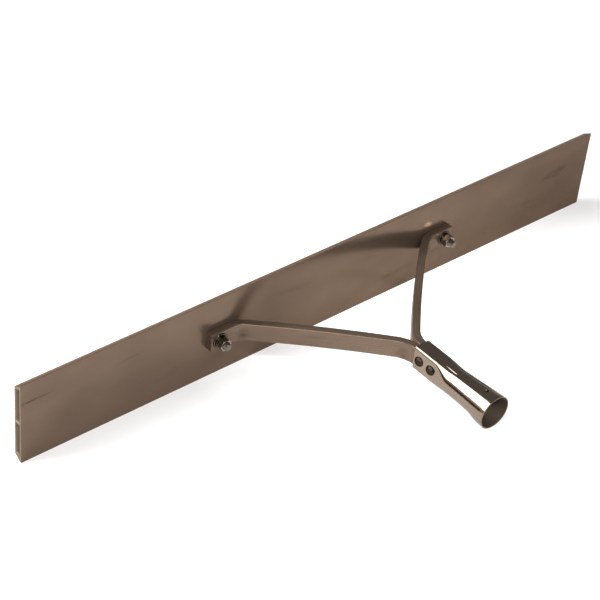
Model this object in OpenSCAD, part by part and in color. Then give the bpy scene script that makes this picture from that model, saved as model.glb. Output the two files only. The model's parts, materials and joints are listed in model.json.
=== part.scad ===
// Smoothing straightedge head: a hollow extruded blade on a forked bracket, with a ferrule for a long handle.
//
// The head is drawn square to its blade: X runs along the blade, Z up its height, and the handle side is -Y,
// with the blade's front face on Y = 0 and its mid-height on Z = 0. resting() then leans every piece into the
// pose the tool takes on a floor: on the blade's lower front edge and on the rim of the ferrule's mouth.

/* [Blade] */
// Length of the blade (36 in)
blade_len = 914.4; // [600:0.1:1219.2]
// Height of the front face, on the handle side
blade_front_h = 115; // [100:0.5:130]
// Height of the back face
blade_back_h = 101; // [88:0.5:112]
// Thickness from front face to back face
blade_t = 12; // [11:0.1:16]
// Thickness of the front and back walls
blade_wall = 2; // [1.2:0.1:2.5]
// Thickness of the web between the two chambers
web_t = 2; // [1.2:0.1:3]
// Solid nose left between each chamber and the bevelled long edge
nose_t = 4.5; // [3:0.1:8]

/* [Bracket bars] */
// Height of the flat bar, which stands on edge
bar_w = 25; // [20:0.5:30]
// Thickness of the flat bar
bar_t = 10; // [8:0.5:12]
// Height of the bars' centre line above the blade's mid-height
bar_z = 1.5; // [0:0.1:5]
// Distance from the middle of the blade to the outer end of each foot
foot_reach = 196; // [190:1:230]
// Radius of the bend by the blade, on the bar's centre line
foot_bend_r = 25; // [20:1:32]
// Angle of the bend by the blade
foot_bend_a = 41; // [38:0.5:43]
// Further slow turn along the whole diagonal
bow_a = 6; // [3:0.5:8]
// Radius of the bend by the ferrule, on the bar's centre line
tang_bend_r = 38; // [30:1:42]
// Straight length of each tang inside the ferrule
tang_len = 39; // [34:1:44]

/* [Ferrule] */
// Distance from the blade's front face to the ferrule's flattened end
ferrule_start = 164; // [160:1:172]
// Length of the flattened stretch
ferrule_flat_len = 37; // [36:1:40]
// Distance from the blade's front face to the mouth
mouth_y = 291; // [286:1:300]
// Wall of the ferrule
ferrule_wall = 1.6; // [1.2:0.1:2]
// Outer height of the flattened stretch
ferrule_flat_h = 33.6; // [32:0.2:36]
// Distance from the axis to the rounded corners of the flattened stretch
ferrule_corner_r = 19.4; // [19:0.1:20]
// Outer radius of the round tube behind the flat
ferrule_tube_r = 17.6; // [17:0.1:19]
// Radius of the handle's seat, inside the straight collar at the mouth
seat_r = 20.6; // [20:0.1:22]
// Length of that straight collar
collar_len = 12; // [10:1:14]
// Diameter of the handle's screw hole
screw_hole_d = 4.8; // [4:0.1:6]
// Distance from the mouth to the handle's screw hole
screw_hole_in = 17.5; // [17:0.5:24]

/* [Rivets] */
// Diameter of a rivet's shank (5/16 in)
rivet_d = 7.9; // [6:0.1:9]
// Diameter of a rivet's round head
rivet_head_d = 13; // [12:0.1:15]
// Height of a rivet's round head
rivet_head_h = 4.2; // [3:0.1:5]
// Distance from the blade's front face to the first rivet
front_rivet_y = 173.5; // [172:0.5:175]
// Distance between the two rivets
rivet_pitch = 19.5; // [16:0.5:20]

/* [Bolts] */
// Distance from the middle of the blade to each bolt
bolt_x = 183; // [176:1:184]
// Diameter of the bolt (3/8 in)
bolt_d = 9.5; // [8:0.1:10]
// Threaded end of the left bolt that stands out past its nut
left_bolt_end = 4.8; // [4:0.1:12]
// Threaded end of the right bolt that stands out past its nut
right_bolt_end = 7; // [4:0.1:12]
// Diameter of the carriage bolt's domed head
bolt_head_d = 21; // [18:0.5:23]
// Height of the carriage bolt's domed head
bolt_head_h = 4.6; // [4:0.1:5]
// Length of the square neck under the head
neck_len = 5.6; // [4:0.1:6]
// Diameter of the flat washer
washer_d = 20.6; // [18:0.1:23]
// Thickness of the flat washer
washer_t = 1.6; // [1.2:0.1:2.5]
// Diameter of the split lock washer
lock_d = 17.2; // [16:0.1:18]
// Thickness of the split lock washer
lock_t = 2.4; // [2:0.1:3]
// Width of the lock washer's split
lock_split = 1.6; // [1:0.1:2.5]
// Size of the nut across its flats (9/16 in)
nut_af = 14.3; // [13:0.1:16]
// Height of the nut
nut_h = 8; // [6:0.1:9]
// Turn of the left nut about its bolt
left_nut_turn = 2; // [0:1:59]
// Turn of the right nut about its bolt
right_nut_turn = 31; // [0:1:59]

/* [Hidden] */
$fn = 96;

metal = "#a39a8e";
bright = "#d8d6d2";
dark = "#35322f";
zinc = "#8f8b84";

clear = 0.1;          // radial clearance of a hole round its shank
cut = 1;              // how far a cutting solid runs past what it cuts
bend_steps = 12;      // straight steps that stand for each of a bar's two tight bends
bow_steps = 6;        // and for its slow turn

bevel_slope = (blade_front_h - blade_back_h) / 2 / blade_t;

// Path of a bar's centre line, worked out from where it has to end: beside its twin at the ferrule
bow_end_a = foot_bend_a + bow_a;
bow_chord_a = foot_bend_a + bow_a / 2;
bow_chord = (ferrule_start - bar_t / 2 - foot_bend_r * (1 - cos(foot_bend_a))
             - tang_bend_r * cos(bow_end_a)) / sin(bow_chord_a);
bow_r = bow_chord / 2 / sin(bow_a / 2);
tang_bend_x = bar_t / 2 + tang_bend_r;
bow_end_x = tang_bend_x - tang_bend_r * sin(bow_end_a);
bow_start_x = bow_end_x + bow_chord * cos(bow_chord_a);
foot_bend_x = bow_start_x + foot_bend_r * sin(foot_bend_a);
bow_start_y = -bar_t / 2 - foot_bend_r * (1 - cos(foot_bend_a));
foot_a = 90 + foot_bend_a;
tang_a = 90 + bow_end_a;
bow_centre = [bow_start_x - bow_r * cos(foot_a), bow_start_y - bow_r * sin(foot_a)];

flat_w = 2 * (bar_t + ferrule_wall);
flat_end = ferrule_start + ferrule_flat_len;
blend_len = 21;       // from the flat to the round tube
straight_len = 14;    // of the round tube before it starts to widen
widening = 1.2;       // of its radius before the flare
flare_len = 18;       // of the flare that ends at the collar
tube_start = flat_end + blend_len;
taper_start = tube_start + straight_len;
collar_start = mouth_y - collar_len;
flare_start = collar_start - flare_len;
mouth_r = seat_r + ferrule_wall;
flare_r = ferrule_tube_r + widening;
rivet_ys = [front_rivet_y, front_rivet_y + rivet_pitch];

washer_y = bar_t + washer_t;
lock_y = washer_y + lock_t;
nut_y = lock_y + nut_h;

// Resting pose: the lean that puts the mouth's rim and the blade's lower front edge on one floor
lean = atan((blade_front_h / 2 + bar_z - mouth_r) / mouth_y);
lift = blade_front_h / 2 * cos(lean);
front_reach = -mouth_y * cos(lean) - (bar_z + mouth_r) * sin(lean);
back_reach = blade_t * cos(lean) + blade_back_h / 2 * sin(lean);

// Lean a piece into the resting pose, with the origin on the floor under the middle of the tool
module resting() {
    translate([0, -(front_reach + back_reach) / 2, lift]) rotate([lean, 0, 0]) children();
}

// Draw along the handle's axis: the child's +Z runs from the blade towards the handle
module along_handle() {
    translate([0, 0, bar_z]) rotate([90, 0, 0]) children();
}

// Draw on one bolt's axis: the child's +Z runs from the blade towards the handle
module on_bolt(side) {
    translate([side * bolt_x, 0, 0]) along_handle() children();
}

// Closed outline of the blade's section, drawn with Y across and Z up
module blade_section() {
    polygon([[0, -blade_front_h / 2], [blade_t, -blade_back_h / 2],
             [blade_t, blade_back_h / 2], [0, blade_front_h / 2]]);
}

// One of the two hollow chambers, above the web or mirrored below it
module chamber_section(side) {
    near = blade_wall;
    far = blade_t - blade_wall;
    top = blade_front_h / 2 - nose_t;
    polygon([[near, side * web_t / 2], [far, side * web_t / 2],
             [far, side * (top - bevel_slope * far)], [near, side * (top - bevel_slope * near)]]);
}

module blade() {
    color(metal) resting() difference() {
        translate([-blade_len / 2, 0, 0]) rotate([90, 0, 90]) linear_extrude(blade_len) blade_section();
        for (side = [-1, 1])
            translate([-blade_len / 2 - cut, 0, 0]) rotate([90, 0, 90])
                linear_extrude(blade_len + 2 * cut) chamber_section(side);
        for (side = [-1, 1]) on_bolt(side) {
            translate([0, 0, -blade_t - cut]) cylinder(d = bolt_d + 2 * clear, h = blade_t + 2 * cut);
            translate([0, 0, -blade_t - cut]) square_bar(bolt_d + 2 * clear, neck_len + cut + clear);
        }
    }
}

// Square bar of side s, centred on the child axis
module square_bar(s, h) {
    translate([-s / 2, -s / 2, 0]) cube([s, s, h]);
}

// Points along an arc of radius r about centre c, from angle a0 to a1
function arc(c, r, a0, a1, steps) =
    [for (i = [0:steps]) let (a = a0 + (a1 - a0) * i / steps) [c[0] + r * cos(a), c[1] + r * sin(a)]];

// One long side of the +X bar in plan, from foot to tang, side half-thicknesses off the centre line
function bar_side(side) = concat(
    arc([foot_bend_x, -bar_t / 2 - foot_bend_r], foot_bend_r + side * bar_t / 2, 90, foot_a, bend_steps),
    arc(bow_centre, bow_r + side * bar_t / 2, foot_a, tang_a, bow_steps),
    arc([tang_bend_x, -ferrule_start], tang_bend_r + side * bar_t / 2, tang_a, 180, bend_steps));

function backwards(list) = [for (i = [len(list) - 1:-1:0]) list[i]];

// The bar on the +X side, before its holes
module right_bar() {
    tang_end = -ferrule_start - tang_len;
    translate([0, 0, bar_z - bar_w / 2]) linear_extrude(bar_w) polygon(concat(
        [[foot_reach, 0]], bar_side(1), [[0, tang_end], [bar_t, tang_end]],
        backwards(bar_side(-1)), [[foot_reach, -bar_t]]));
}

module drilled_right_bar() {
    difference() {
        right_bar();
        on_bolt(1) translate([0, 0, -cut]) cylinder(d = bolt_d + 2 * clear, h = bar_t + 2 * cut);
        rivet_holes(rivet_d + 2 * clear);
    }
}

module right_arm() {
    color(metal) resting() drilled_right_bar();
}

module left_arm() {
    color(metal) resting() mirror([1, 0, 0]) drilled_right_bar();
}

// Holes of diameter d for both rivets, right through the ferrule
module rivet_holes(d) {
    for (y = rivet_ys) on_rivet(y) cylinder(d = d, h = flat_w + 2 * cut, center = true);
}

// Draw on one rivet's axis, which runs along X
module on_rivet(y) {
    translate([0, -y, bar_z]) rotate([0, 90, 0]) children();
}

// Solid between two planes. They stand w apart up to flat_end, part until they clear a tube of radius r, and
// then open wide
module wedge(w, r) {
    near = ferrule_start - 2 * cut;
    far = mouth_y + 2 * cut;
    rotate([90, 0, 0]) linear_extrude(4 * mouth_r, center = true)
        polygon([
            [-w / 2, near], [w / 2, near], [w / 2, flat_end], [r + clear, tube_start], [2 * mouth_r, far],
            [-2 * mouth_r, far], [-r - clear, tube_start], [-w / 2, flat_end]]);
}

// Flat, blend and round tube as one solid, shrunk by inset all round: a turned shape between four flats
module ferrule_solid(inset, overrun) {
    tube = ferrule_tube_r - inset;
    corner = ferrule_corner_r - inset;
    mouth = mouth_r - inset;
    near = ferrule_start - overrun;
    far = mouth_y + overrun;
    intersection() {
        rotate_extrude() polygon([
            [0, near], [corner, near], [corner, flat_end], [tube, tube_start], [tube, taper_start],
            [flare_r - inset, flare_start], [mouth, collar_start], [mouth, far], [0, far]]);
        wedge(flat_w - 2 * inset, tube);
        rotate([0, 0, 90]) wedge(ferrule_flat_h - 2 * inset, tube);
    }
}

module handle_socket() {
    color(bright) resting() difference() {
        along_handle() difference() {
            ferrule_solid(0, 0);
            ferrule_solid(ferrule_wall, cut);
        }
        rivet_holes(rivet_d + 2 * clear);
        translate([0, -(mouth_y - screw_hole_in), bar_z]) cylinder(d = screw_hole_d, h = mouth_r + cut);
    }
}

// Cap of a sphere, flat side on Z = 0
module dome(d, h) {
    r = (d * d / 4 + h * h) / 2 / h;
    intersection() {
        translate([0, 0, h - r]) sphere(r = r);
        translate([-d, -d, 0]) cube([2 * d, 2 * d, h + cut]);
    }
}

module rivet(y) {
    color(dark) resting() on_rivet(y) {
        cylinder(d = rivet_d, h = flat_w, center = true);
        for (side = [0, 180])
            rotate([side, 0, 0]) translate([0, 0, flat_w / 2]) dome(rivet_head_d, rivet_head_h);
    }
}

module front_rivet() {
    rivet(rivet_ys[0]);
}

module rear_rivet() {
    rivet(rivet_ys[1]);
}

// Carriage bolt whose thread ends at height end above the blade's front face
module bolt(side, end) {
    chamfer = 1;
    color(zinc) resting() on_bolt(side) {
        translate([0, 0, -blade_t]) cylinder(d = bolt_d, h = blade_t + end - chamfer);
        translate([0, 0, end - chamfer]) cylinder(d1 = bolt_d, d2 = bolt_d - 2 * chamfer, h = chamfer);
        translate([0, 0, -blade_t]) square_bar(bolt_d, neck_len);
        translate([0, 0, -blade_t]) rotate([180, 0, 0]) dome(bolt_head_d, bolt_head_h);
    }
}

module left_bolt() {
    bolt(-1, nut_y + left_bolt_end);
}

module right_bolt() {
    bolt(1, nut_y + right_bolt_end);
}

module washer(side) {
    color(zinc) resting() on_bolt(side) translate([0, 0, bar_t]) difference() {
        cylinder(d = washer_d, h = washer_t);
        translate([0, 0, -cut]) cylinder(d = bolt_d + 2 * clear, h = washer_t + 2 * cut);
    }
}

module left_washer() {
    washer(-1);
}

module right_washer() {
    washer(1);
}

module lock_washer(side) {
    color(zinc) resting() on_bolt(side) translate([0, 0, washer_y]) difference() {
        cylinder(d = lock_d, h = lock_t);
        translate([0, 0, -cut]) cylinder(d = bolt_d + 2 * clear, h = lock_t + 2 * cut);
        translate([-lock_split / 2, 0, -cut]) cube([lock_split, lock_d, lock_t + 2 * cut]);
    }
}

module left_lock_washer() {
    lock_washer(-1);
}

module right_lock_washer() {
    lock_washer(1);
}

// Hex nut with both ends chamfered at its corners
module nut(side, turn) {
    chamfer = 1;
    corner_r = nut_af / 2 / cos(30);
    color(zinc) resting() on_bolt(side) translate([0, 0, lock_y]) rotate([0, 0, turn]) difference() {
        intersection() {
            cylinder(r = corner_r, h = nut_h, $fn = 6);
            union() {
                cylinder(r1 = nut_af / 2, r2 = corner_r, h = chamfer);
                translate([0, 0, chamfer]) cylinder(r = corner_r, h = nut_h - 2 * chamfer);
                translate([0, 0, nut_h - chamfer]) cylinder(r1 = corner_r, r2 = nut_af / 2, h = chamfer);
            }
        }
        translate([0, 0, -cut]) cylinder(d = bolt_d + 2 * clear, h = nut_h + 2 * cut);
    }
}

module left_nut() {
    nut(-1, left_nut_turn);
}

module right_nut() {
    nut(1, right_nut_turn);
}

blade();
left_arm();
right_arm();
handle_socket();
front_rivet();
rear_rivet();
left_bolt();
right_bolt();
left_washer();
right_washer();
left_lock_washer();
right_lock_washer();
left_nut();
right_nut();
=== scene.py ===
import json
import math

import bmesh
import bpy
from mathutils import Matrix, Vector


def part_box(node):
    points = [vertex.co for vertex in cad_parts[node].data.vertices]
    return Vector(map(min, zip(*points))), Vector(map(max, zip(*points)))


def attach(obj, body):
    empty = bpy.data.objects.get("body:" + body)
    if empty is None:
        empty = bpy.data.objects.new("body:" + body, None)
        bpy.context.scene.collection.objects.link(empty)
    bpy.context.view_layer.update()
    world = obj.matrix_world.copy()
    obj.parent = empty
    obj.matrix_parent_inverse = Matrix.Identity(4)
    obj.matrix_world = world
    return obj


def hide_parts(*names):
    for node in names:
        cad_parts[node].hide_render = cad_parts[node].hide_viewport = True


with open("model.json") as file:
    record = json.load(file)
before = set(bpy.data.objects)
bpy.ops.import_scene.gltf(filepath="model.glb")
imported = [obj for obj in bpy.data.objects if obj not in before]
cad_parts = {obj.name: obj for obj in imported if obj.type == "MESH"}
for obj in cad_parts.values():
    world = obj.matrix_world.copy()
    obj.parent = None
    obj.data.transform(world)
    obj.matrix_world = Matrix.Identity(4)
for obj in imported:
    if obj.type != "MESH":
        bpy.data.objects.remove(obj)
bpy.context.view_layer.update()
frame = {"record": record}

# --------------------------------------------------------------------------------------------------
# Sizes, in millimetres, square to the blade: X along it, Z up its height, the handle side at -Y, the
# blade's front face on Y = 0 and its mid-height on Z = 0. They repeat the CAD model's.
# --------------------------------------------------------------------------------------------------
BLADE_FRONT_H, BLADE_BACK_H, BLADE_T = 115, 101, 12
BLADE_WALL, WEB_T, NOSE_T = 2, 2, 4.5
BAR_W, BAR_T, BAR_Z = 25, 10, 1.5
FOOT_REACH, FOOT_BEND_R, FOOT_BEND_A = 196, 25, 41
BOW_A, TANG_BEND_R, TANG_LEN = 6, 38, 39
FERRULE_START, FLAT_END, TUBE_START, MOUTH_Y = 164, 201, 222, 291
FERRULE_WALL, FERRULE_FLAT_H, COLLAR_LEN, MOUTH_R = 1.6, 33.6, 12, 22.2
SCREW_HOLE_D, SCREW_HOLE_IN = 4.8, 17.5
RIVET_YS, RIVET_HEAD_D, RIVET_HEAD_H = (173.5, 193), 13, 4.2
BOLT_X, BOLT_D, BOLT_END, NECK_LEN = 183, 9.5, {-1: 4.8, 1: 7}, 5.6
BOLT_HEAD_D, BOLT_HEAD_H = 21, 4.6
WASHER_D, WASHER_T, LOCK_D, LOCK_T = 20.6, 1.6, 17.2, 2.4
NUT_AF, NUT_H, NUT_TURN = 14.3, 8, {-1: 2, 1: 31}
THREAD_PITCH, THREAD_DEPTH = 1.5875, 0.85

FLAT_W = 2 * (BAR_T + FERRULE_WALL)
BLADE_LEN = (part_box("blade")[1].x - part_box("blade")[0].x) * 1000
NUT_Y = BAR_T + WASHER_T + LOCK_T

# The tool leans in its resting pose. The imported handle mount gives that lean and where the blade's
# axes sit.
handle_mount = next(m for m in frame["record"]["mounts"] if m["name"] == "handle_socket")
LEAN = math.atan2(-handle_mount["axis"][2], -handle_mount["axis"][1])
TILT = Matrix.Rotation(LEAN, 4, "X")
HANDLE_POINT = Vector((0, -(MOUTH_Y - COLLAR_LEN / 2), BAR_Z)) / 1000
ORIGIN = Vector(handle_mount["pos_m"]) - TILT @ HANDLE_POINT
TO_ROW = Matrix.Translation(ORIGIN) @ TILT @ Matrix.Scale(0.001, 4)


# --------------------------------------------------------------------------------------------------
# Mesh helpers. Every piece is drawn in millimetres, square to the blade, and turned into the row
# frame at the end.
# --------------------------------------------------------------------------------------------------
def cos_deg(angle):
    return math.cos(math.radians(angle))


def sin_deg(angle):
    return math.sin(math.radians(angle))


def finish_piece(name, bm, material, node, sharp=35, grain=None, inner=None):
    """Turn a bmesh into a named piece that stands for one CAD node, smooth between its sharp edges.
    grain holds one (along, across, up) vector per vertex, in millimetres, for the material's pattern.
    inner holds 1 for each vertex on an inside wall, which is never polished (on the ferrule also
    painted darker as shade), and 0 for the others."""
    bmesh.ops.recalc_face_normals(bm, faces=bm.faces)
    mesh = bpy.data.meshes.new(name)
    bm.to_mesh(mesh)
    bm.free()
    coords = grain or [tuple(v.co) for v in mesh.vertices]
    layer = mesh.attributes.new("grain", "FLOAT_VECTOR", "POINT")
    layer.data.foreach_set("vector", [c for v in coords for c in v])
    if inner:
        mesh.attributes.new("inner", "FLOAT", "POINT").data.foreach_set("value", inner)
    mesh.transform(TO_ROW)
    mesh.shade_smooth()
    mesh.set_sharp_from_angle(angle=math.radians(sharp))
    mesh.materials.append(material)
    piece = bpy.data.objects.new(name, mesh)
    bpy.context.scene.collection.objects.link(piece)
    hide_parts(node)
    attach(piece, "root")
    return piece


def loft(bm, rings, ends="capped"):
    """Join equal rings of points with quads. The ends are capped, left open, or joined into a loop."""
    loops = [[bm.verts.new(p) for p in ring] for ring in rings]
    spans = list(zip(loops, loops[1:]))
    if ends == "joined":
        spans.append((loops[-1], loops[0]))
    count = len(loops[0])
    for a, b in spans:
        for i in range(count):
            j = (i + 1) % count
            bm.faces.new((a[i], a[j], b[j], b[i]))
    if ends == "capped":
        bm.faces.new(loops[0])
        bm.faces.new(loops[-1])
    return loops


def arc(centre, radius, start, end, steps):
    """Points along an arc, from start to end degrees."""
    angles = [start + (end - start) * i / steps for i in range(steps + 1)]
    return [(centre[0] + radius * cos_deg(a), centre[1] + radius * sin_deg(a)) for a in angles]


def rounded_polygon(corners, radii, steps=5):
    """A closed outline whose corners are rounded: corners anticlockwise, one radius for each."""
    points = []
    count = len(corners)
    for i, radius in enumerate(radii):
        before, corner, after = (Vector(corners[(i + k - 1) % count]) for k in range(3))
        into, out = (corner - before).normalized(), (after - corner).normalized()
        turn = abs(into.angle_signed(out))
        cut = radius * math.tan(turn / 2)
        centre = corner - into * cut + Vector((-into.y, into.x)) * radius
        first = math.degrees(math.atan2(-into.x, into.y))
        points += arc(centre, radius, first, first + math.degrees(turn), steps)
    return points


def rectangle(half_u, half_v, radius, steps=5):
    """A rounded rectangle about the middle."""
    corners = [(-half_u, -half_v), (half_u, -half_v), (half_u, half_v), (-half_u, half_v)]
    return rounded_polygon(corners, [radius] * 4, steps)


def turned(profile, steps, place):
    """Rings of a turned shape: profile is (radius, height) pairs, and place maps a point on the axis
    frame into 3-D."""
    angles = [2 * math.pi * i / steps for i in range(steps)]
    return [[place(r * math.cos(a), r * math.sin(a), h) for a in angles] for r, h in profile]


def dome_profile(diameter, height, edge, steps=14):
    """Profile of a domed head that stands on height 0, with a small upright edge, ending just off its
    axis."""
    bevel, tip_r = 0.25, 0.35
    rise = height - edge
    radius = (diameter * diameter / 4 + rise * rise) / 2 / rise
    sweep = math.asin(diameter / 2 / radius)
    slopes = [sweep * (1 - k / steps) for k in range(steps - 1)]
    dome = [(radius * math.sin(a), height - radius * (1 - math.cos(a))) for a in slopes]
    return [(diameter / 2 - bevel, 0), (diameter / 2, bevel)] + dome + [(tip_r, height)]


# --------------------------------------------------------------------------------------------------
# Materials
# --------------------------------------------------------------------------------------------------
class Nodes:
    """Short ways to add and wire the nodes of a material or a world."""

    def __init__(self, owner):
        owner.use_nodes = True
        self.tree = owner.node_tree

    def find(self, kind):
        return next(n for n in self.tree.nodes if n.type == kind)

    def feed(self, socket, value):
        """Link a socket to another node's output, or set it to a plain value."""
        if isinstance(value, bpy.types.NodeSocket):
            self.tree.links.new(value, socket)
        else:
            socket.default_value = value

    def node(self, kind, inputs=(), **settings):
        node = self.tree.nodes.new(kind)
        for key, value in settings.items():
            setattr(node, key, value)
        for socket, value in dict(inputs).items():
            self.feed(node.inputs[socket], value)
        return node

    def ramp(self, value, low, high, to_low=0.0, to_high=1.0):
        """A value stretched from low..high to to_low..to_high, held outside that range."""
        return self.node("ShaderNodeMapRange", {
            "Value": value, "From Min": low, "From Max": high, "To Min": to_low, "To Max": to_high,
        }, clamp=True).outputs["Result"]

    def mix(self, factor, a, b):
        """Colour a where the factor is 0, and b where it is 1."""
        return self.node("ShaderNodeMix", {0: factor, 6: a, 7: b}, data_type="RGBA").outputs[2]

    def calc(self, operation, *values):
        return self.node("ShaderNodeMath", dict(enumerate(values)), operation=operation).outputs[0]


class Shader(Nodes):
    """A Principled material."""

    def __init__(self, name):
        self.material = bpy.data.materials.new(name)
        super().__init__(self.material)
        self.bsdf = self.find("BSDF_PRINCIPLED")

    def set(self, **sockets):
        for name, value in sockets.items():
            self.feed(self.bsdf.inputs[name.replace("_", " ")], value)


class Metal(Shader):
    """A metal whose pattern follows the piece's own grain, in millimetres."""

    def __init__(self, name, edge_tint=(0.62, 0.62, 0.62, 1)):
        super().__init__(name)
        self.grain = self.attribute("grain", "Vector")
        self.set(Metallic=1, Specular_Tint=edge_tint)

    def attribute(self, name, output):
        return self.node("ShaderNodeAttribute", attribute_name=name).outputs[output]

    def noise(self, scale, detail=3.0, roughness=0.55, turn=0.0, shift=(0, 0, 0)):
        """Noise whose features are about 1 / scale millimetres along each axis."""
        place = self.node("ShaderNodeMapping", {
            "Vector": self.grain, "Scale": scale, "Rotation": (0, turn, 0), "Location": shift})
        return self.node("ShaderNodeTexNoise", {
            "Vector": place.outputs["Vector"], "Scale": 1.0, "Detail": detail,
            "Roughness": roughness}).outputs["Fac"]

    def rub_and_shade_spot(self, centre, size, turn, depth=8):
        """1 inside an elongated spot, used for rubbed marks and for patches of painted shade, and 0
        outside it. centre is (along, across, up) and size is (length, width), in millimetres, and turn
        is in degrees."""
        core = 0.3
        spot = self.node("ShaderNodeMapping", {
            "Vector": self.grain, "Location": centre, "Rotation": (0, -math.radians(turn), 0),
            "Scale": (size[0] / 2, depth, size[1] / 2)}, vector_type="TEXTURE").outputs["Vector"]
        far = self.node("ShaderNodeVectorMath", {0: spot}, operation="LENGTH").outputs["Value"]
        return self.ramp(far, core, 1, 1, 0)

    def bump(self, height, strength, distance, under=None):
        """A bumped normal. distance is in metres, and under is the normal that it adds to."""
        inputs = {"Height": height, "Strength": strength, "Distance": distance}
        if under is not None:
            inputs["Normal"] = under
        return self.node("ShaderNodeBump", inputs).outputs["Normal"]


def grey(value, warmth=1.0):
    """A warm grey of about that reflectance."""
    return (value * (1 + 0.33 * warmth), value, value * (1 - 0.28 * warmth), 1)


def bronze(value):
    """The browner grey of the drawn metal."""
    return (value * 1.4, value, value * 0.74, 1)


def mill_finish(name, level, roughness, seed, rubs_and_shade, hollow_len=None):
    """Drawn aluminium: die lines along the grain, soft blotches, fine scuffs and a few larger darker
    spots, each a (centre, size, turn, darkness): rubbed marks, and on the bars also painted shade
    across the bends. A hollow section of that length also has freshly sawn ends and duller inside
    walls."""
    s = Metal(name, edge_tint=(0.62, 0.53, 0.47, 1))
    outside_metallic, inside_metallic = 0.68, 0.3
    s.set(Specular_IOR_Level=0, Metallic=outside_metallic)
    blotch = s.noise((0.011, 0.02, 0.02), detail=2, shift=(seed, 0, 0))
    lines = s.noise((0.004, 0.9, 0.9), detail=4, roughness=0.7, shift=(seed, 0, 0))
    fine = s.noise((0.02, 3.5, 3.5), detail=2, shift=(seed, 5, 0))
    scuff = s.ramp(s.noise((0.02, 0.3, 0.3), detail=4, turn=0.35, shift=(seed, 9, 3)), 0.66, 0.74)
    spot_breakup = s.ramp(s.noise((0.05, 0.25, 0.25), detail=3, shift=(seed, 2, 0)), 0.3, 0.6)

    tone = s.mix(s.ramp(blotch, 0.3, 0.7), bronze(level * 0.88), bronze(level * 1.1))
    tone = s.mix(s.ramp(lines, 0.35, 0.7, 0, 0.3), tone, bronze(level * 0.82))
    tone = s.mix(s.calc("MULTIPLY", scuff, 0.35), tone, bronze(level * 0.65))
    # Each spot darkens the tone: rubbed marks on the blade and bars, and painted shade on the left
    # bar's bends.
    for centre, size, turn, darkness in rubs_and_shade:
        spot = s.calc("MULTIPLY", s.calc("MULTIPLY", s.rub_and_shade_spot(centre, size, turn), spot_breakup), darkness)
        tone = s.mix(spot, tone, bronze(level * 0.35))
    rough = s.calc("ADD", s.ramp(lines, 0.3, 0.75, roughness - 0.02, roughness + 0.05),
                   s.ramp(blotch, 0.3, 0.7, -0.03, 0.03))
    if hollow_len:
        along = s.node("ShaderNodeSeparateXYZ", {"Vector": s.grain}).outputs["X"]
        sawn = s.ramp(s.calc("ABSOLUTE", along), hollow_len / 2 - 0.2, hollow_len / 2 - 0.05)
        inner = s.attribute("inner", "Fac")
        tone = s.mix(sawn, tone, grey(level * 1.7, 0.8))
        tone = s.mix(inner, tone, grey(0.2, 0.8))
        rough = s.calc("ADD", rough, s.ramp(inner, 0, 1, 0, 0.3))
        s.set(Metallic=s.ramp(inner, 0, 1, outside_metallic, inside_metallic))
    under = s.bump(lines, 0.1, 0.0002)
    s.set(Base_Color=tone, Roughness=rough, Normal=s.bump(fine, 0.2, 0.0001, under))
    return s.material


def plated(name, level, roughness):
    """Bright plating on a tube: slow waves, faint haze, wipe marks and a few pin marks, with dull
    inside walls that are also darkened as painted shade inside the tube."""
    s = Metal(name)
    inner = s.attribute("inner", "Fac")
    haze = s.noise((0.05, 0.05, 0.05), detail=5, roughness=0.65)
    wipe = s.noise((0.5, 0.06, 0.5), detail=3, roughness=0.6)
    wave = s.noise((0.12, 0.05, 0.12), detail=1)
    pits = s.ramp(s.noise((0.8, 0.8, 0.8), detail=1), 0.72, 0.8)
    tone = s.mix(s.ramp(haze, 0.35, 0.7), grey(level, 0.8), grey(level * 0.9, 0.8))
    # Painted shade: the inside walls are darkened to 0.38 of the plating's tone.
    tone = s.mix(inner, tone, grey(level * 0.38))
    rough = s.calc("ADD", s.ramp(haze, 0.3, 0.7, roughness - 0.03, roughness + 0.06),
                   s.ramp(wipe, 0.4, 0.7, 0.0, 0.03))
    rough = s.calc("ADD", rough, s.ramp(inner, 0, 1, 0, 0.45))
    under = s.bump(wave, 0.15, 0.0006)
    s.set(Base_Color=tone, Roughness=rough, Normal=s.bump(pits, 0.2, 0.0001, under),
          Metallic=s.ramp(inner, 0, 1, 1, 0.6))
    return s.material


def blackened(name):
    """Black oxide on steel, mottled and lightly dented."""
    s = Metal(name, edge_tint=(0.3, 0.3, 0.3, 1))
    mottle = s.noise((0.5, 0.5, 0.5), detail=4, roughness=0.65)
    dents = s.noise((0.28, 0.28, 0.28), detail=1)
    tone = s.mix(s.ramp(mottle, 0.35, 0.7), grey(0.022), grey(0.034))
    under = s.bump(dents, 0.25, 0.0006)
    s.set(Base_Color=tone, Roughness=s.ramp(mottle, 0.3, 0.7, 0.34, 0.46),
          Normal=s.bump(mottle, 0.1, 0.0001, under))
    return s.material


def zinc(name, level):
    """Dull zinc plate with a fine spangle and grit."""
    s = Metal(name)
    spangle = s.noise((0.6, 0.6, 0.6), detail=3)
    grit = s.noise((2.5, 2.5, 2.5), detail=3)
    tone = s.mix(s.ramp(spangle, 0.35, 0.65), grey(level * 0.8, 0.6), grey(level * 1.15, 0.5))
    s.set(Base_Color=tone, Roughness=s.ramp(grit, 0.3, 0.7, 0.08, 0.16),
          Normal=s.bump(grit, 0.05, 0.0001))
    return s.material


# Darker spots, as (centre, size, turn, darkness): rubbed marks, and on the left bar painted shade at
# its two bends. Along the blade they are measured from its middle.
BLADE_RUBS = [((-440, 0, 30), (70, 4), 1, 1), ((-310, 0, 27), (55, 5), 4, 0.4),
              ((392, 0, 16), (62, 15), 12, 0.5), ((404, 0, 14), (30, 6), 26, 0.5),
              ((340, 0, -14), (60, 9), -4, 0.3), ((-60, 0, 20), (70, 12), -6, 0.25),
              ((110, 0, -30), (80, 10), 5, 0.25), ((-250, 0, -25), (60, 14), 12, 0.2)]
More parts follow.
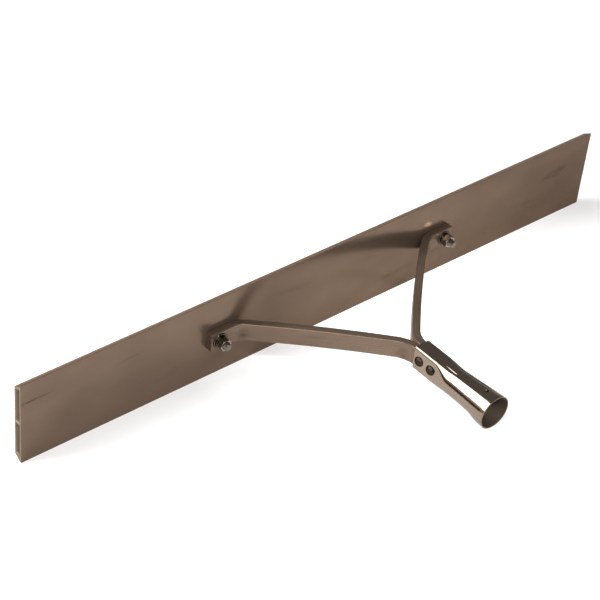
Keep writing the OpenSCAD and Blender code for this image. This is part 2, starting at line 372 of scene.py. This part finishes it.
# Along a bar they are measured from the end of its foot, where its grain starts at its own number,
# so that the two bars don't share a pattern.
GRAIN_START = {-1: -700, 1: 700}
LEFT, RIGHT = GRAIN_START[-1], GRAIN_START[1]
# The first two bar spots are painted shade across the left bar's foot bend and tang bend; the others
# are rubbed marks.
BAR_RUBS_AND_BEND_SHADE = [((LEFT + 48, -5, -2.5), (24, 24), 10, 0.7), ((LEFT + 243, -5, -4), (22, 24), -8, 0.55),
            ((LEFT + 85, -5, 7.5), (14, 5), 15, 0.5), ((LEFT + 140, -5, 3), (50, 6), 2, 0.25),
            ((RIGHT + 70, -5, 0), (40, 10), 4, 0.4), ((RIGHT + 180, 5, 2), (50, 9), 5, 0.4)]
BLADE_METAL = mill_finish("blade_metal", level=0.104, roughness=0.2, seed=0, rubs_and_shade=BLADE_RUBS,
                          hollow_len=BLADE_LEN)
BAR_METAL = mill_finish("bar_metal", level=0.105, roughness=0.25, seed=40, rubs_and_shade=BAR_RUBS_AND_BEND_SHADE)
FERRULE_PLATE = plated("ferrule_plate", level=0.185, roughness=0.07)
RIVET_STEEL = blackened("rivet_steel")
ZINC = zinc("zinc_fastener", level=0.13)
# The nuts use a brighter copy of the zinc: a painted highlight that makes their lit top faces, and
# those faces' reflection in the blade, glint.
GLINT_NUT_ZINC = zinc("glint_nut_zinc", level=0.22)
# The washers use a darker copy of the zinc.
DARK_ZINC = zinc("dark_zinc", level=0.075)


# --------------------------------------------------------------------------------------------------
# Blade: one hollow section with rounded corners, sawn off at both ends
# --------------------------------------------------------------------------------------------------
def blade_outline(inset=0.0):
    """The outside of the blade's section as (Y, Z) points."""
    front, back = BLADE_FRONT_H / 2, BLADE_BACK_H / 2
    front_r, back_r = 0.25, 0.6
    # The front corners are acute, so they draw in further than the back ones
    front_in = 1.8 * inset
    corners = [(inset, -front + front_in), (BLADE_T - inset, -back + inset),
               (BLADE_T - inset, back - inset), (inset, front - front_in)]
    return rounded_polygon(corners, [front_r, back_r, back_r, front_r], steps=4)


def chamber_outline(side, inset=0.0):
    """One hollow chamber of the section: side is 1 above the web and -1 below it."""
    fillet = 1.2
    slope = (BLADE_FRONT_H - BLADE_BACK_H) / 2 / BLADE_T
    near, far = BLADE_WALL + inset, BLADE_T - BLADE_WALL - inset
    low = WEB_T / 2 + inset
    top = BLADE_FRONT_H / 2 - NOSE_T - inset
    corners = [(near, low), (far, low), (far, top - slope * far), (near, top - slope * near)]
    if side < 0:
        corners = [(y, -z) for y, z in reversed(corners)]
    return rounded_polygon(corners, [fillet] * 4)


def make_blade():
    """The blade, with the edges of its sawn ends eased."""
    bm = bmesh.new()
    half, ease, spans, slack = BLADE_LEN / 2, 0.3, 24, 0.01
    between = [half * (2 * k / spans - 1) for k in range(1, spans)]
    stations = [-half, -half + ease] + between + [half - ease, half]
    outlines = (blade_outline, lambda i: chamber_outline(1, -i), lambda i: chamber_outline(-1, -i))
    ends = []
    for outline in outlines:
        rings = [[(x, y, z) for y, z in outline(ease if abs(x) == half else 0.0)] for x in stations]
        loops = loft(bm, rings, ends="open")
        ends.append((loops[0], loops[-1]))
    for end in zip(*ends):
        edges = [bm.edges.get((loop[i - 1], loop[i])) for loop in end for i in range(len(loop))]
        bmesh.ops.triangle_fill(bm, edges=edges, use_beauty=True)

    def inside(point):
        """Whether a point is on a chamber's walls, short of the sawn ends."""
        return (BLADE_WALL - slack < point.y < BLADE_T - BLADE_WALL + slack
                and WEB_T / 2 - slack < abs(point.z) < BLADE_FRONT_H / 2 - NOSE_T
                and abs(point.x) < half - ease / 2)

    inner = [float(inside(v.co)) for v in bm.verts]
    finish_piece("Blade", bm, BLADE_METAL, "blade", sharp=25, inner=inner)


# --------------------------------------------------------------------------------------------------
# Bars: a rounded flat bar swept along the bent path
# --------------------------------------------------------------------------------------------------
def bar_path():
    """The +X bar's centre line in plan, foot end first, as (x, y, angle, bend): the angle of its back
    face's normal, and how sharply it is bent there, from 0 to 1."""
    end_a, mid_a = FOOT_BEND_A + BOW_A, FOOT_BEND_A + BOW_A / 2
    drop = FOOT_BEND_R * (1 - cos_deg(FOOT_BEND_A))
    chord = (FERRULE_START - BAR_T / 2 - drop - TANG_BEND_R * cos_deg(end_a)) / sin_deg(mid_a)
    bow_r = chord / 2 / sin_deg(BOW_A / 2)
    tang_x = BAR_T / 2 + TANG_BEND_R
    bow_x = tang_x - TANG_BEND_R * sin_deg(end_a) + chord * cos_deg(mid_a)
    bow_y = -BAR_T / 2 - drop
    foot_x = bow_x + FOOT_BEND_R * sin_deg(FOOT_BEND_A)
    foot_a, tang_a = 90 + FOOT_BEND_A, 90 + end_a
    bow_centre = (bow_x - bow_r * cos_deg(foot_a), bow_y - bow_r * sin_deg(foot_a))
    path = [(FOOT_REACH + (foot_x - FOOT_REACH) * k / 6, -BAR_T / 2, 90, 0) for k in range(6)]
    # Each stretch is (centre, radius, first angle, last angle, steps, sharpest bend)
    stretches = (((foot_x, -BAR_T / 2 - FOOT_BEND_R), FOOT_BEND_R, 90, foot_a, 16, 1),
                 (bow_centre, bow_r, foot_a, tang_a, 24, 0),
                 ((tang_x, -FERRULE_START), TANG_BEND_R, tang_a, 180, 16, 0.6))
    for centre, radius, first, last, steps, sharpest in stretches:
        for k, (x, y) in enumerate(arc(centre, radius, first, last, steps)):
            share = k / steps
            bend = sharpest * math.sin(math.pi * share) ** 0.7
            path.append((x, y, first + (last - first) * share, bend))
    path += [(BAR_T / 2, -FERRULE_START - TANG_LEN * k / 3, 180, 0) for k in range(1, 4)]
    # Stretches that meet share a point, and only one of the two is kept
    return [p for i, p in enumerate(path) if i == 0 or math.dist(p[:2], path[i - 1][:2]) > 1e-6]


def make_arm(name, side, node):
    """A bar on the side's half of the blade: -1 is the left one, a mirror image."""
    bm = bmesh.new()
    corner_r, ease, swell = 1.1, 0.4, 0.45
    half_t, half_w = BAR_T / 2, BAR_W / 2
    section = rectangle(half_t, half_w, corner_r, steps=4)
    path = bar_path()
    # The edges of both ends are eased. Each ring there is (shift along the bar, shrink).
    eased = {0: [(0, ease), (ease, 0)], len(path) - 1: [(-ease, 0), (0, ease)]}
    rings, grain, run = [], [], 0.0
    for i, (x, y, angle, bend) in enumerate(path):
        run += math.dist((x, y), path[i - 1][:2]) if i else 0.0
        nx, ny = cos_deg(angle), sin_deg(angle)
        for shift, shrink in eased.get(i, [(0, 0)]):
            # The bar heads from the foot towards the tang, square to the back face's normal
            cx, cy = x - ny * shift, y + nx * shift
            ring = []
            for u, v in section:
                # Bending swells the bar's inside edge a little and thins its outside edge
                spread = 1 + bend * swell / half_w * (-u / half_t)
                du, dv = u * (1 - shrink / half_t), v * spread * (1 - shrink / half_w)
                ring.append((side * (cx + nx * du), cy + ny * du, BAR_Z + dv))
                grain.append((GRAIN_START[side] + run + shift, u, v))
            rings.append(ring)
    loft(bm, rings)
    finish_piece(name, bm, BAR_METAL, node, grain=grain)


# --------------------------------------------------------------------------------------------------
# Ferrule: a tube pressed flat round the tangs and flared to a round mouth
# --------------------------------------------------------------------------------------------------
TUBE_R, PRESSED_CORNER_R, FERRULE_SHARP = 17.6, 3.5, 40
CREASE_START, CREASE_STOP, CREASE_X = 197, 232, -4.6


def smooth_step(low, high, value):
    share = min(1, max(0, (value - low) / (high - low)))
    return share * share * (3 - 2 * share)


def tube_radius(d, angle):
    """Outer radius of the round tube at distance d from the blade. The upper side flares evenly to
    the mouth, and the underside late and quickly."""
    past, blur = MOUTH_Y + 20, 4.5
    upper = ((0, TUBE_R), (226, TUBE_R), (MOUTH_Y - 1, MOUTH_R), (past, MOUTH_R))
    under = ((0, TUBE_R), (242, TUBE_R), (264, 18.7), (278, MOUTH_R - 0.4), (MOUTH_Y, MOUTH_R),
             (past, MOUTH_R))
    window = [blur * k / 3 for k in range(-3, 4)]

    def blurred(points):
        """Radius on a line through (distance, radius) points, averaged over the window round d."""
        total = 0
        for at in (min(d, MOUTH_Y - blur) + w for w in window):
            (d0, r0), (d1, r1) = next(pair for pair in zip(points, points[1:]) if at <= pair[1][0])
            total += r0 + (r1 - r0) * (at - d0) / (d1 - d0)
        return total / len(window)

    share = smooth_step(-0.5, 0.3, math.sin(angle))
    return blurred(under) + (blurred(upper) - blurred(under)) * share


def reach(a, b, r, angle):
    """Distance from the middle of a rounded rectangle, half sizes a and b and corner radius r, to its
    edge in that direction."""
    c, s = abs(math.cos(angle)), abs(math.sin(angle))
    if c * (b - r) >= s * a:
        return a / c
    if s * (a - r) >= c * b:
        return b / s
    ox, oy = a - r, b - r
    along = ox * c + oy * s
    return along + math.sqrt(max(0, along * along - ox * ox - oy * oy + r * r))


def crease(x, z, d):
    """Height of the crease that the pressing left on the top left shoulder. It curves in from the
    left at its start and fades out at both ends."""
    height, width, hook = 0.36, 0.6, 4.5
    share = (d - CREASE_START) / (CREASE_STOP - CREASE_START)
    if z < 0 or not 0 < share < 1:
        return 0
    middle = CREASE_X - hook * max(0, 1 - 4 * share) ** 1.5
    off = (x - middle) / width
    return height * math.sin(math.pi * share) ** 0.4 * math.exp(-off * off)


def ferrule_ring(d, inset, steps):
    """One loop of the ferrule's wall at distance d from the blade, inset from its outside."""
    least_corner_r = 0.6
    blend = smooth_step(FLAT_END - 3, TUBE_START + 4, d)
    ring = []
    for i in range(steps):
        angle = 2 * math.pi * (i + 0.5) / steps
        radius = tube_radius(d, angle)
        a = FLAT_W / 2 + (radius - FLAT_W / 2) * blend
        b = FERRULE_FLAT_H / 2 + (radius - FERRULE_FLAT_H / 2) * blend
        r = PRESSED_CORNER_R + (radius - PRESSED_CORNER_R) * blend
        out = reach(a - inset, b - inset, max(least_corner_r, r - inset), angle)
        x, z = out * math.cos(angle), out * math.sin(angle)
        grow = 1 + crease(x, z, d) / out
        ring.append((x * grow, -d, BAR_Z + z * grow))
    return ring


def make_ferrule():
    bm = bmesh.new()
    steps, lip, spacing, spans = 360, 0.3, 1.4, 90
    between = [FERRULE_START + spacing * k for k in range(1, spans)]
    stations = [FERRULE_START + lip] + between + [MOUTH_Y - lip]
    outside = [ferrule_ring(FERRULE_START, lip, steps)]
    outside += [ferrule_ring(d, 0, steps) for d in stations]
    outside.append(ferrule_ring(MOUTH_Y, lip, steps))
    inside = [ferrule_ring(MOUTH_Y, FERRULE_WALL - lip, steps)]
    inside += [ferrule_ring(d, FERRULE_WALL, steps) for d in reversed(stations)]
    inside.append(ferrule_ring(FERRULE_START, FERRULE_WALL - lip, steps))
    loft(bm, outside + inside, ends="joined")
    # The rims count as outside, so inner skips the first and last rings of the inside
    inner = [0.0] * (steps * (len(outside) + 1))
    inner += [1.0] * (steps * (len(inside) - 2)) + [0.0] * steps
    piece = finish_piece("Handle_Ferrule", bm, FERRULE_PLATE, "handle_socket",
                         sharp=FERRULE_SHARP, inner=inner)
    punch_screw_hole(piece)


def punch_screw_hole(piece):
    """Cut the handle's screw hole through the top wall with an exact boolean, and apply it."""
    bm = bmesh.new()
    low, high = 10, 30
    place = lambda x, y, h: (x, y - (MOUTH_Y - SCREW_HOLE_IN), BAR_Z + h)
    loft(bm, turned([(SCREW_HOLE_D / 2, low), (SCREW_HOLE_D / 2, high)], 32, place))
    bmesh.ops.recalc_face_normals(bm, faces=bm.faces)
    mesh = bpy.data.meshes.new("hole_cutter")
    bm.to_mesh(mesh)
    bm.free()
    mesh.transform(TO_ROW)
    cutter = bpy.data.objects.new("hole_cutter", mesh)
    bpy.context.scene.collection.objects.link(cutter)
    modifier = piece.modifiers.new("hole", "BOOLEAN")
    modifier.operation, modifier.object, modifier.solver = "DIFFERENCE", cutter, "EXACT"
    bpy.context.view_layer.update()
    evaluated = piece.evaluated_get(bpy.context.evaluated_depsgraph_get())
    cut = bpy.data.meshes.new_from_object(evaluated)
    piece.modifiers.clear()
    piece.data = cut
    cut.set_sharp_from_angle(angle=math.radians(FERRULE_SHARP))
    bpy.data.objects.remove(cutter)


# --------------------------------------------------------------------------------------------------
# Rivets and bolts
# --------------------------------------------------------------------------------------------------
ROUND_STEPS = 48
WASHER_GAP = 0.15


def make_rivet(name, y, node):
    """A round-head rivet across the ferrule, with its formed head on the far side."""
    bm = bmesh.new()
    half, shank_r, sunk, edge = FLAT_W / 2, 3.9, 0.2, 0.5
    head = [(r, half + h) for r, h in dome_profile(RIVET_HEAD_D, RIVET_HEAD_H, edge)]
    near_half = [(shank_r, half - sunk)] + head
    profile = [(r, -h) for r, h in reversed(near_half)] + near_half
    loft(bm, turned(profile, ROUND_STEPS, lambda u, v, h: (h, v - y, BAR_Z + u)))
    finish_piece(name, bm, RIVET_STEEL, node)


def bolt_place(side, turn=0.0):
    """A function that maps a point on a bolt's axis frame into 3-D. Its height is measured from the
    blade's front face towards the handle."""
    c, s = cos_deg(turn), sin_deg(turn)
    return lambda u, v, h: (side * BOLT_X + u * c - v * s, -h, BAR_Z + u * s + v * c)


def thread_rings(side, low, high):
    """Rings of a real screw thread, from low to high, with the end chamfered."""
    rings_per_turn, chamfer, chamfer_slope = 14, 0.75, 0.9
    steepness, crest = 1.25, 0.12
    place = bolt_place(side)
    rings, count = [], round((high - low) / THREAD_PITCH * rings_per_turn)
    for k in range(count + 1):
        h = low + (high - low) * k / count
        ring = []
        for i in range(ROUND_STEPS):
            share = i / ROUND_STEPS
            phase = (h / THREAD_PITCH - share) % 1
            tooth = min(1, max(0, abs(phase - 0.5) * 2 * steepness - crest))
            r = BOLT_D / 2 - THREAD_DEPTH * tooth
            r = min(r, BOLT_D / 2 - chamfer + (high - h) * chamfer_slope)
            ring.append(place(r * math.cos(2 * math.pi * share), r * math.sin(2 * math.pi * share), h))
        rings.append(ring)
    return rings


def make_bolt(name, side, node):
    """A carriage bolt: domed head and square neck behind the blade, thread in front of the bar."""
    bm = bmesh.new()
    radius, back, end = BOLT_D / 2, -BLADE_T, NUT_Y + NUT_H + BOLT_END[side]
    thread_start, run_in = BAR_T - 2, 0.2
    head_edge, end_bevel, tip_r = 1.0, 1.1, 0.4
    neck_r, neck_bevel, neck_tip = 0.6, 1, 0.86
    place = bolt_place(side)
    head = [(r, back - h) for r, h in reversed(dome_profile(BOLT_HEAD_D, BOLT_HEAD_H, head_edge))]
    shank = [(radius, back), (radius, thread_start - run_in)]
    rings = turned(head + shank, ROUND_STEPS, place) + thread_rings(side, thread_start, end)
    rings += turned([(radius - end_bevel, end), (tip_r, end)], ROUND_STEPS, place)
    loft(bm, rings)
    square = rectangle(radius, radius, neck_r)
    neck = ((0, 1), (NECK_LEN - neck_bevel, 1), (NECK_LEN, neck_tip))
    loft(bm, [[place(u * size, v * size, back + h) for u, v in square] for h, size in neck])
    finish_piece(name, bm, ZINC, node, sharp=30)


def make_washer(name, side, node):
    """A stamped flat washer, rounder at its front edge."""
    bm = bmesh.new()
    low, high, edge = BAR_T, BAR_T + WASHER_T, 0.25
    bore, rim = BOLT_D / 2 + WASHER_GAP, WASHER_D / 2
    profile = [(bore + edge, low), (rim - edge, low), (rim, low + edge), (rim, high - 2 * edge),
               (rim - 0.5 * edge, high - 0.7 * edge), (rim - 2 * edge, high), (bore + edge, high),
               (bore, high - edge), (bore, low + edge)]
    loft(bm, turned(profile, 72, bolt_place(side)), ends="joined")
    finish_piece(name, bm, DARK_ZINC, node, sharp=50)


def make_lock_washer(name, side, node):
    """A split spring washer whose two cut ends sit a little apart along the bolt."""
    bm = bmesh.new()
    low = BAR_T + WASHER_T
    bore, rim = BOLT_D / 2 + WASHER_GAP, LOCK_D / 2
    split_a, steps, lift, corner_r = 12, 72, 0.12, 0.3
    corners = [(bore, lift), (rim, lift), (rim, LOCK_T - lift), (bore, LOCK_T - lift)]
    section = rounded_polygon(corners, [corner_r] * 4, steps=3)
    place = bolt_place(side)
    rings = []
    for k in range(steps + 1):
        angle = 90 + split_a / 2 + (360 - split_a) * k / steps
        rise = lift * (2 * k / steps - 1)
        rings.append([place(r * cos_deg(angle), r * sin_deg(angle), low + h + rise)
                      for r, h in section])
    loft(bm, rings)
    finish_piece(name, bm, DARK_ZINC, node, sharp=40)


def make_nut(name, side, node):
    """A hex nut whose end chamfers cut the six faces in arcs."""
    bm = bmesh.new()
    steps, face, slope, bore = 96, NUT_AF / 2 - 0.25, 0.5, BOLT_D / 2 + 0.12
    place = bolt_place(side, NUT_TURN[side])
    angles = [2 * math.pi * i / steps for i in range(steps)]
    hexagon = [NUT_AF / 2 / math.cos(a % (math.pi / 3) - math.pi / 6) for a in angles]
    drop = [(r - face) * slope for r in hexagon]
    # The bore's lead-ins, as (width, depth)
    back_lead, front_lead = (0.6, 0.5), (0.7, 0.6)

    def ring(radii, heights):
        return [place(r * math.cos(a), r * math.sin(a), NUT_Y + h)
                for r, h, a in zip(radii, heights, angles)]

    def flat(radius, height):
        return ring([radius] * steps, [height] * steps)

    rings = [flat(bore, back_lead[1]), flat(bore + back_lead[0], 0), flat(face, 0),
             ring(hexagon, drop), ring(hexagon, [NUT_H - d for d in drop]), flat(face, NUT_H),
             flat(bore + front_lead[0], NUT_H), flat(bore, NUT_H - front_lead[1])]
    loft(bm, rings, ends="joined")
    finish_piece(name, bm, GLINT_NUT_ZINC, node, sharp=20)


make_blade()
make_arm("Left_Arm", -1, "left_arm")
make_arm("Right_Arm", 1, "right_arm")
make_ferrule()
make_rivet("Front_Rivet", RIVET_YS[0], "front_rivet")
make_rivet("Rear_Rivet", RIVET_YS[1], "rear_rivet")
for word, side in (("Left", -1), ("Right", 1)):
    make_bolt(f"{word}_Bolt", side, f"{word.lower()}_bolt")
    make_washer(f"{word}_Washer", side, f"{word.lower()}_washer")
    make_lock_washer(f"{word}_Lock_Washer", side, f"{word.lower()}_lock_washer")
    make_nut(f"{word}_Nut", side, f"{word.lower()}_nut")


# --------------------------------------------------------------------------------------------------
# Stage, in metres: pale floor, dim room, soft lights, camera
# --------------------------------------------------------------------------------------------------
def make_floor():
    """A pale floor that glows a little, most under the middle of the tool, so that shadows on it stay
    faint."""
    half = 15
    glow_middle, glow_core, glow_edge = (0.12, 0.1, 0), 0.08, 0.34
    most_glow, least_glow = 0.85, 0.2
    mesh = bpy.data.meshes.new("floor")
    corners = [(-half, -half, 0), (half, -half, 0), (half, half, 0), (-half, half, 0)]
    mesh.from_pydata(corners, [], [(0, 1, 2, 3)])
    floor = bpy.data.objects.new("floor", mesh)
    bpy.context.scene.collection.objects.link(floor)
    s = Shader("pale_floor")
    position = s.node("ShaderNodeNewGeometry").outputs["Position"]
    far = s.node("ShaderNodeVectorMath", {0: position, 1: glow_middle}, operation="DISTANCE")
    s.set(Base_Color=(0.65, 0.65, 0.65, 1), Roughness=0.9, Specular_IOR_Level=0.1,
          Emission_Color=(1, 1, 1, 1),
          Emission_Strength=s.ramp(far.outputs["Value"], glow_core, glow_edge, most_glow, least_glow))
    mesh.materials.append(s.material)


def make_room():
    """A white backdrop low behind the tool, and a dim room elsewhere."""
    backdrop, room = 0.8, 0.28
    world = bpy.data.worlds.new("studio")
    n = Nodes(world)
    direction = n.node("ShaderNodeTexCoord").outputs["Generated"]
    axes = n.node("ShaderNodeSeparateXYZ", {0: direction}).outputs
    low, behind = n.ramp(axes["Z"], 0.4, 0.26), n.ramp(axes["Y"], 0.3, 0.6)
    glow = n.calc("MULTIPLY_ADD", n.calc("MULTIPLY", low, behind), backdrop, room)
    n.feed(n.find("BACKGROUND").inputs["Color"], glow)
    bpy.context.scene.world = world


def softbox(name, centre, facing, along, size, radiance):
    """A rectangular light of that radiance, placed square to the blade. Its first side runs along one
    direction and its face looks in another."""
    data = bpy.data.lights.new(name, "AREA")
    data.shape, data.size, data.size_y = "RECTANGLE", size[0], size[1]
    data.energy = math.pi * radiance * size[0] * size[1]
    light = bpy.data.objects.new(name, data)
    z_axis = -Vector(facing).normalized()
    x_axis = (Vector(along) - z_axis * z_axis.dot(Vector(along))).normalized()
    turn = Matrix((x_axis, z_axis.cross(x_axis), z_axis)).transposed().to_4x4()
    light.matrix_world = TILT @ Matrix.Translation(centre) @ turn
    bpy.context.scene.collection.objects.link(light)


def make_lights():
    softbox("back_left_softbox", centre=(-1.5, 1.5, 1.67), facing=(0.682, 0, -0.731),
            along=(0.25, 0.94, 0.233), size=(2.0, 2.24), radiance=8.5)
    softbox("front_left_softbox", centre=(-1.5, -1, 1.5), facing=(0.66, 0.3, -0.68),
            along=(0, 1, 0), size=(1.2, 1.2), radiance=8)
    softbox("front_lamp", centre=(-0.88, -2.4, 3.69), facing=(0.23, 0.53, -0.81),
            along=(1, 0, 0), size=(0.5, 0.5), radiance=130)


def make_camera():
    data = bpy.data.cameras.new("camera")
    data.lens, data.sensor_width = 115.63, 36
    camera = bpy.data.objects.new("camera", data)
    place, target = Vector((-1.3289, -1.3754, 1.3469)), Vector((0.0028, 0.2001, 0))
    look = (target - place).to_track_quat("-Z", "Y").to_matrix().to_4x4()
    roll = Matrix.Rotation(math.radians(0.18), 4, "Z")
    camera.matrix_world = Matrix.Translation(place) @ look @ roll
    bpy.context.scene.collection.objects.link(camera)
    bpy.context.scene.camera = camera


make_floor()
make_room()
make_lights()
make_camera()
bpy.context.scene.view_settings.view_transform = "Standard"
